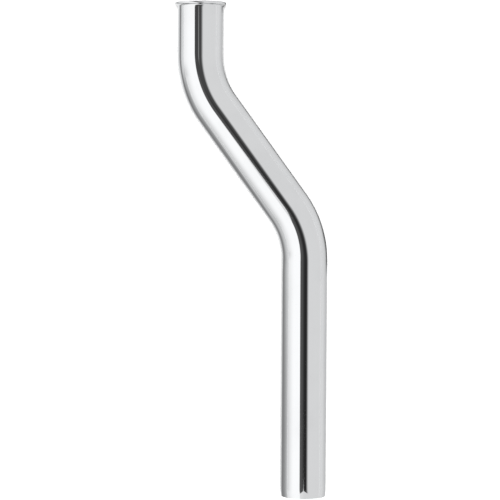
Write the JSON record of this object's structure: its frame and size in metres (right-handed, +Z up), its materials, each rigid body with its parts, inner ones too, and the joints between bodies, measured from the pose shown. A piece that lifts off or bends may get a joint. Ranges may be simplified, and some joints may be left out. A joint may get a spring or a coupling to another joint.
{
  "type": "flush valve pipe",
  "caption": "Chrome-plated brass flush pipe with an offset S-bend, a turned flange for the valve's coupling nut and a plain end that slips into the pan connector.",
  "frame": {"origin": "bottom centre of the bounding box, on the surface that the pipe lies on", "axes": "+Y along the legs, out of the flanged end; +Z up from the surface it lies on; the plain end is offset to +X"},
  "size_m": [0.1092, 0.35, 0.0365],
  "materials": {
    "chrome": "bright chrome plating on polished brass"
  },
  "bodies": {
    "root": {"flush_pipe": "chrome"}
  },
  "joints": []
}
